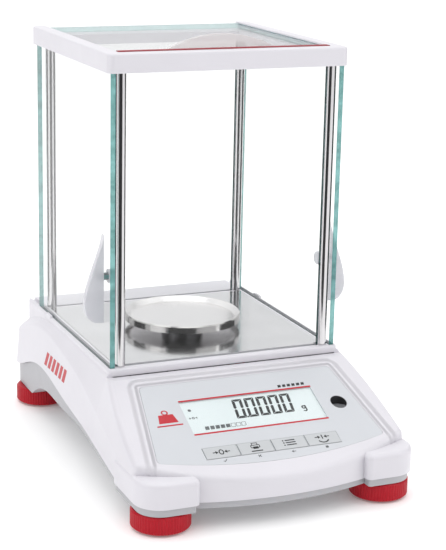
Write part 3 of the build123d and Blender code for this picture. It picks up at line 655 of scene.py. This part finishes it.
def make_window():
    """Clear window of the film, with a red line along its top and bottom."""
    mesh = bmesh.new()
    reach_x, reach_y = LCD_HALF_X - WINDOW_GAP, LCD_HALF_Y - WINDOW_GAP
    outline = rounded(-reach_x, reach_x, -reach_y, reach_y, 0.3, 3)
    filled(mesh, outline, FILM_PLANE, -0.45, -0.03)
    piece("display_window", mesh, lens_film, "housing")
    mesh = bmesh.new()
    for side in (-1, 1):
        inner, outer = sorted((side * (LCD_HALF_Y - 0.6), side * (LCD_HALF_Y + 0.9)))
        outline = rounded(-reach_x, reach_x + 0.6, inner, outer, 0.12, 2)
        filled(mesh, outline, FILM_PLANE, 0.0, INK_MM)
    piece("display_red_lines", mesh, red_ink, "housing")


# ---- prints on the film --------------------------------------------------------------

KEY_BODIES = ("zero_key", "unit_key", "function_key", "tare_key")
KEY_HALF_X_MM = 12.2          # the thin outline on each key
KEY_HALF_Y_MM = 5.3
KEY_MARK_DROP_MM = 8.2        # from a key's middle to the mark below it
EMBLEM = (-65.0, -2.6)        # middle of the weight's foot, from the display's middle
BLOCK_ROW = (27.0, 19.4)      # lower left corner of the row of blocks
BLOCKS = 6


def key_middle(index):
    """Middle of a key on the panel plane, from its CAD box."""
    low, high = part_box(KEY_BODIES[index])
    s_low, s_high = along("lcd_panel", PANEL_UP)
    k_low, k_high = along(KEY_BODIES[index], PANEL_UP)
    return (low.x + high.x) / 2 / MM, ((k_low + k_high) / 2 - (s_low + s_high) / 2) / MM


def arrow(mesh, x, y, way, plane, size=1.0):
    """A short line with a head; way is +1 to the right or -1 to the left."""
    z0, z1 = 0.0, INK_MM
    stroke(mesh, [(x - way * 1.5 * size, y), (x + way * 0.3 * size, y)], 0.55 * size, plane, z0, z1)
    tip, neck, half = x + way * 1.5 * size, x + way * 0.1 * size, 1.1 * size
    filled(mesh, [(tip, y), (neck, y + half), (neck, y - half)], plane, z0, z1)


def zero_symbol(mesh, x, y, plane):
    """Nought between two arrows."""
    arrow(mesh, x - 4.3, y, 1, plane, 1.4)
    arrow(mesh, x + 4.3, y, -1, plane, 1.4)
    ring = [(px * 0.72 + x * 0.28, py) for px, py in arc(x, y, 2.1, steps=20)]
    stroke(mesh, ring, 0.8, plane, 0.0, INK_MM, closed=True)


def printer_symbol(mesh, x, y, plane):
    """A printer with its sheet, over a short bar."""
    stroke(mesh, rounded(x - 3.2, x + 3.2, y - 0.2, y + 2.2, 0.4, 3), 0.6, plane, 0.0, INK_MM, closed=True)
    sheet = [(x - 2, y + 2.4), (x - 2, y + 4.2), (x + 2, y + 4.2), (x + 2, y + 2.4)]
    stroke(mesh, sheet, 0.55, plane, 0.0, INK_MM)
    filled(mesh, rounded(x - 2.0, x + 2.0, y - 1.4, y + 0.8, 0.2, 2), plane, 0.0, INK_MM)
    stroke(mesh, [(x - 4.2, y - 3.4), (x + 4.2, y - 3.4)], 1.0, plane, 0.0, INK_MM)


def list_symbol(mesh, x, y, plane):
    """Three lines of a list, each behind its dot."""
    for row in (-1, 0, 1):
        height = y + 0.4 + row * 2.2
        filled(mesh, arc(x - 4.2, height, 0.62, steps=12), plane, 0.0, INK_MM)
        stroke(mesh, [(x - 2.7, height), (x + 4.8, height)], 0.95, plane, 0.0, INK_MM)


def tare_symbol(mesh, x, y, plane):
    """Two arrows that meet at an upright line, over a pan."""
    arrow(mesh, x - 3.5, y + 1.6, 1, plane, 1.4)
    arrow(mesh, x + 3.5, y + 1.6, -1, plane, 1.4)
    stroke(mesh, [(x, y + 3.6), (x, y - 0.4)], 0.8, plane, 0.0, INK_MM)
    stroke(mesh, arc(x, y + 0.6, 4.4, 212, 328, 10), 0.95, plane, 0.0, INK_MM)


def tick_mark(mesh, x, y, plane):
    """Under the zero key: a tick."""
    stroke(mesh, [(x - 1.3, y), (x - 0.4, y - 0.9), (x + 1.4, y + 1.0)], 0.6, plane, 0.0, INK_MM)


def cross_mark(mesh, x, y, plane):
    """Under the unit key: a cross."""
    stroke(mesh, [(x - 1.1, y - 1.0), (x + 1.1, y + 1.0)], 0.6, plane, 0.0, INK_MM)
    stroke(mesh, [(x - 1.1, y + 1.0), (x + 1.1, y - 1.0)], 0.6, plane, 0.0, INK_MM)


def back_mark(mesh, x, y, plane):
    """Under the function key: an arrow to the left."""
    arrow(mesh, x, y, -1, plane, 1.1)


def stop_mark(mesh, x, y, plane):
    """Under the tare key: a small square."""
    filled(mesh, rounded(x - 1.1, x + 1.1, y - 1.0, y + 1.0, 0.15, 2), plane, 0.0, INK_MM)


KEY_SYMBOLS = (zero_symbol, printer_symbol, list_symbol, tare_symbol)
FILM_SYMBOLS = (tick_mark, cross_mark, back_mark, stop_mark)


def make_key_prints():
    """A symbol and a thin outline on each key, and a small mark on the film below it."""
    for index, body in enumerate(KEY_BODIES):
        x, y = key_middle(index)
        plane = panel_plane(body)
        mesh = bmesh.new()
        KEY_SYMBOLS[index](mesh, x, y, plane)
        piece(body + "_symbol", mesh, black_ink, body)
        mesh = bmesh.new()
        sides = (x - KEY_HALF_X_MM, x + KEY_HALF_X_MM, y - KEY_HALF_Y_MM, y + KEY_HALF_Y_MM)
        outline = rounded(*sides, 0.8, 4)
        stroke(mesh, outline, 0.22, plane, 0.0, INK_MM * 0.6, closed=True)
        piece(body + "_outline", mesh, line_ink, body)
    mesh = bmesh.new()
    for index, symbol in enumerate(FILM_SYMBOLS):
        x, y = key_middle(index)
        symbol(mesh, x, y - KEY_MARK_DROP_MM, FILM_PLANE)
    piece("key_marks", mesh, grey_ink, "housing")


def make_emblem():
    """A generic red sign at the left of the display: a laboratory weight over a bar."""
    mesh = bmesh.new()
    x, y = EMBLEM
    body = [(x - 7.2, y), (x + 7.2, y), (x + 5.4, y + 8.4), (x - 5.4, y + 8.4)]
    filled(mesh, body, FILM_PLANE, 0.0, INK_MM)
    stroke(mesh, arc(x, y + 10.4, 2.0, steps=20), 1.0, FILM_PLANE, 0.0, INK_MM, closed=True)
    filled(mesh, rounded(x - 9.6, x + 9.6, y - 3.2, y - 1.9, 0.3, 3), FILM_PLANE, 0.0, INK_MM)
    piece("red_emblem", mesh, red_ink, "housing")


def make_corner_blocks():
    """A generic row of small leaning blocks above the display's right end."""
    mesh = bmesh.new()
    x, y = BLOCK_ROW
    height = 2.6
    for index in range(BLOCKS):
        x0 = x + index * 3.7
        outline = [(x0, y), (x0 + 2.5, y), (x0 + 3.0, y + height), (x0 + 0.5, y + height)]
        filled(mesh, outline, FILM_PLANE, 0.0, INK_MM)
    piece("film_blocks", mesh, black_ink, "housing")


# ---- level ---------------------------------------------------------------------------

CUP_R_MM = 6.2                # black sleeve that lines the level's hole, as painted shade of the deep hole
CUP_WALL_MM = 0.5
ROUND_STEPS = 48


def make_level():
    """Fluid and black cup of the bull's-eye level, both made dark as painted shade of the deep hole."""
    low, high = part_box("level_vial")
    centre = (low + high) / 2
    axis = Vector((centre.x, centre.y, 0.0))
    radius = (high.x - low.x) / 2

    # painted shade: the fluid is near black, standing for the shade deep in the level's hole
    fluid = Finish("level_fluid", (0.05, 0.075, 0.04), 0.08)
    fluid.mottle(0.2, 2.0)
    mesh = bmesh.new()
    core, rim = 0.1 * MM, radius - 0.8 * MM
    floor_z, top_z = low.z + 0.5 * MM, low.z + 1.2 * MM
    lathe(mesh, [(core, floor_z), (rim, floor_z), (rim, top_z), (core, top_z)], axis, ROUND_STEPS)
    piece("level_fluid", mesh, fluid, "housing")

    # painted shade: a black sleeve lines the hole so that it reads as deep and dark
    mesh = bmesh.new()
    rings = []
    normal, point = PANEL_NORMAL, FILM_PLANE.translation
    inner = CUP_R_MM - CUP_WALL_MM
    for reach, top in ((CUP_R_MM, False), (CUP_R_MM, True), (inner, True), (inner, False)):
        ring = []
        for step in range(ROUND_STEPS):
            angle = 2 * math.pi * step / ROUND_STEPS
            x = axis.x + reach * MM * math.cos(angle)
            y = axis.y + reach * MM * math.sin(angle)
            slope_z = point.z - (normal.x * (x - point.x) + normal.y * (y - point.y)) / normal.z
            ring.append(mesh.verts.new((x, y, slope_z - 0.15 * MM if top else high.z + 0.05 * MM)))
        rings.append(ring)
    for first in range(4):
        here, there = rings[first], rings[(first + 1) % 4]
        for step in range(ROUND_STEPS):
            after = (step + 1) % ROUND_STEPS
            mesh.faces.new((here[step], here[after], there[after], there[step]))
    smooth(piece("level_cup", mesh, black_plastic, "housing"))


# ---- marks on the shell --------------------------------------------------------------

MARK_FROM_REAR_MM = 76.8      # from the back of the shell to the first bar
MARK_FLOOR_MM = 52.0          # height of the bars' feet above the bench
MARK_BARS = 6
MARK_PITCH_MM = 8.8
BAR_W_MM = 5.8
BAR_H_MM = 10.5
BAR_LEAN_MM = 3.0


def surface_patch(mesh, tree, corners, columns, rows, lift, thick):
    """A thin patch that follows the left flank; its corners are (y, z) in metres, in order round it."""
    grid = []
    for row in range(rows + 1):
        v = row / rows
        line = []
        for column in range(columns + 1):
            u = column / columns
            first = Vector(corners[0]).lerp(Vector(corners[1]), u)
            second = Vector(corners[3]).lerp(Vector(corners[2]), u)
            y, z = first.lerp(second, v)
            place, normal, _, _ = tree.ray_cast(Vector((-0.2, y, z)), Vector((1, 0, 0)))
            line.append((place + normal * lift, place + normal * (lift + thick)))
        grid.append(line)
    layers = [[[mesh.verts.new(pair[layer]) for pair in line] for line in grid] for layer in (0, 1)]
    for layer in layers:
        for near, far in zip(layer, layer[1:]):
            for column in range(columns):
                mesh.faces.new((near[column], near[column + 1], far[column + 1], far[column]))
    border = [(0, c) for c in range(columns)] + [(r, columns) for r in range(rows)]
    border += [(rows, c) for c in range(columns, 0, -1)] + [(r, 0) for r in range(rows, 0, -1)]
    under, over = ([layer[row][column] for row, column in border] for layer in layers)
    for index in range(len(border)):
        after = (index + 1) % len(border)
        mesh.faces.new((under[index], under[after], over[after], over[index]))


def make_side_mark():
    """A generic red mark on the left flank: a row of leaning bars."""
    housing = NODES["top_housing"]
    tree = BVHTree.FromPolygons(
        [vertex.co for vertex in housing.data.vertices],
        [polygon.vertices for polygon in housing.data.polygons],
    )
    mesh = bmesh.new()
    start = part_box("top_housing")[1].y - MARK_FROM_REAR_MM * MM
    low = MARK_FLOOR_MM * MM
    high = low + BAR_H_MM * MM
    width, lean = BAR_W_MM * MM, BAR_LEAN_MM * MM
    for index in range(MARK_BARS):
        y = start - index * MARK_PITCH_MM * MM
        corners = [(y, low), (y - width, low), (y - width - lean, high), (y - lean, high)]
        surface_patch(mesh, tree, corners, 3, 4, 0.02 * MM, 0.05 * MM)
    piece("side_mark", mesh, red_ink, "housing")


make_digits()
make_status_marks()
make_window()
make_key_prints()
make_emblem()
make_corner_blocks()
make_level()
make_side_mark()


# ---- studio --------------------------------------------------------------------------

FLOOR_R = 14.0
FLOOR_DROP = 0.2 * MM         # the floor lies this far below the pads
CARD_DISTANCE = 0.42
CARD_HEIGHT = 0.44
CARD_CENTRE_Y = 0.04


def make_floor():
    """Pale studio floor."""
    mesh = bmesh.new()
    bmesh.ops.create_circle(mesh, cap_ends=True, segments=96, radius=FLOOR_R)
    data = bpy.data.meshes.new("studio_floor")
    mesh.to_mesh(data)
    mesh.free()
    floor = bpy.data.objects.new("studio_floor", data)
    floor.location.z = -FLOOR_DROP
    bpy.context.scene.collection.objects.link(floor)
    finish = Finish("studio_floor", (0.93, 0.93, 0.93), 0.6)
    finish.mottle(0.004, 300.0)
    finish.set("Emission Color", (1.0, 1.0, 1.0, 1.0))
    finish.set("Emission Strength", 0.12)
    data.materials.append(finish.material)


def make_world():
    """Even white surroundings, darker towards the front, as in a studio with its lights at the sides."""
    world = bpy.data.worlds.new("studio")
    bpy.context.scene.world = world
    world.use_nodes = True
    nodes, links = world.node_tree.nodes, world.node_tree.links
    background = nodes["Background"]
    coords = nodes.new("ShaderNodeTexCoord")

    def facing(direction, start, end):
        """0 to 1 as the view direction turns towards this direction."""
        dot = nodes.new("ShaderNodeVectorMath")
        dot.operation = "DOT_PRODUCT"
        dot.inputs[1].default_value = Vector(direction).normalized()
        links.new(coords.outputs["Generated"], dot.inputs[0])
        spread = nodes.new("ShaderNodeMapRange")
        spread.interpolation_type = "SMOOTHSTEP"
        spread.inputs["From Min"].default_value = start
        spread.inputs["From Max"].default_value = end
        links.new(dot.outputs["Value"], spread.inputs["Value"])
        return spread.outputs["Result"]

    def layer(under, factor, colour):
        mix = nodes.new("ShaderNodeMix")
        mix.data_type = "RGBA"
        links.new(factor, mix.inputs[0])
        if isinstance(under, tuple):
            mix.inputs[6].default_value = (*under, 1.0)
        else:
            links.new(under, mix.inputs[6])
        mix.inputs[7].default_value = (*colour, 1.0)
        return mix.outputs[2]

    colour = layer((0.84, 0.84, 0.855), facing((0, 0, 1), 0.1, 0.9), (1.22, 1.22, 1.22))
    colour = layer(colour, facing((-0.40, -0.90, 0.10), 0.70, 0.97), (0.45, 0.45, 0.46))
    links.new(colour, background.inputs["Color"])
    background.inputs["Strength"].default_value = 1.0


def area_light(name, place, aim, size, power, mirrored=True):
    """A soft box that looks at a point; mirrored says if shiny surfaces show it."""
    light = bpy.data.lights.new(name, "AREA")
    light.shape = "RECTANGLE"
    light.size, light.size_y = size
    light.energy = power
    holder = bpy.data.objects.new(name, light)
    bpy.context.scene.collection.objects.link(holder)
    holder.location = place
    holder.visible_glossy = mirrored
    holder.rotation_euler = (Vector(aim) - Vector(place)).to_track_quat("-Z", "Y").to_euler()


def dark_card(name, azimuth_deg, width):
    """A dark card that stands round the balance and shows only in reflections, for contrast on the metal."""
    angle = math.radians(azimuth_deg)
    outward = Vector((math.sin(angle), -math.cos(angle), 0))
    across = Vector((math.cos(angle), math.sin(angle), 0)) * width / 2
    foot = outward * CARD_DISTANCE + Vector((0, CARD_CENTRE_Y, 0))
    rise = Vector((0, 0, CARD_HEIGHT))
    mesh = bmesh.new()
    corners = (foot - across, foot + across, foot + across + rise, foot - across + rise)
    mesh.faces.new([mesh.verts.new(corner) for corner in corners])
    data = bpy.data.meshes.new(name)
    mesh.to_mesh(data)
    mesh.free()
    card = bpy.data.objects.new(name, data)
    bpy.context.scene.collection.objects.link(card)
    finish = Finish(name, (0.03, 0.03, 0.032), 0.9)
    finish.mottle(0.1, 80.0)
    data.materials.append(finish.material)
    card.visible_camera = False
    card.visible_diffuse = False
    card.visible_shadow = False
    card.visible_transmission = False


CAMERA_TURN_DEG = -23.36
CAMERA_RISE_DEG = 14.83
CAMERA_ROLL_DEG = 1.23
CAMERA_DISTANCE = 1.2508
CAMERA_AIM = Vector((0.03384, 0.0381, 0.12224))
CAMERA_LENS_MM = 104.5
CAMERA_SENSOR_MM = 36.0


def make_camera():
    """Long lens from the front left, a little above the balance."""
    angles = (CAMERA_TURN_DEG, CAMERA_RISE_DEG, CAMERA_ROLL_DEG)
    azimuth, elevation, roll = (math.radians(angle) for angle in angles)
    level, rise = math.cos(elevation), math.sin(elevation)
    back = Vector((math.sin(azimuth) * level, -math.cos(azimuth) * level, rise))
    right = Vector((math.cos(azimuth), math.sin(azimuth), 0))
    up = back.cross(right)
    tilted_right = right * math.cos(roll) + up * math.sin(roll)
    tilted_up = up * math.cos(roll) - right * math.sin(roll)
    data = bpy.data.cameras.new("camera")
    data.lens = CAMERA_LENS_MM
    data.sensor_width = CAMERA_SENSOR_MM
    camera = bpy.data.objects.new("camera", data)
    bpy.context.scene.collection.objects.link(camera)
    turned_axes = Matrix((tilted_right, tilted_up, back)).transposed().to_4x4()
    camera.matrix_world = Matrix.Translation(CAMERA_AIM + back * CAMERA_DISTANCE) @ turned_axes
    bpy.context.scene.camera = camera


make_floor()
make_world()
dark_card("card_front", -24.0, 0.46)
dark_card("card_right", 78.0, 0.36)
dark_card("card_left", -112.0, 0.24)
area_light("overhead", (-0.2, -0.1, 1.5), (0, 0.02, 0.1), (1.4, 1.4), 4.0)
area_light("left_box", (-1.5, -0.5, 0.9), (0, 0, 0.15), (1.0, 1.2), 2.5)
area_light("right_box", (1.4, -0.7, 0.8), (0, 0, 0.15), (0.8, 1.2), 3.5)
area_light("rear_box", (0.1, 1.3, 0.9), (0.0, 0.13, 0.1), (1.0, 0.7), 3.0, mirrored=False)
make_camera()
bpy.context.scene.view_settings.view_transform = "Standard"
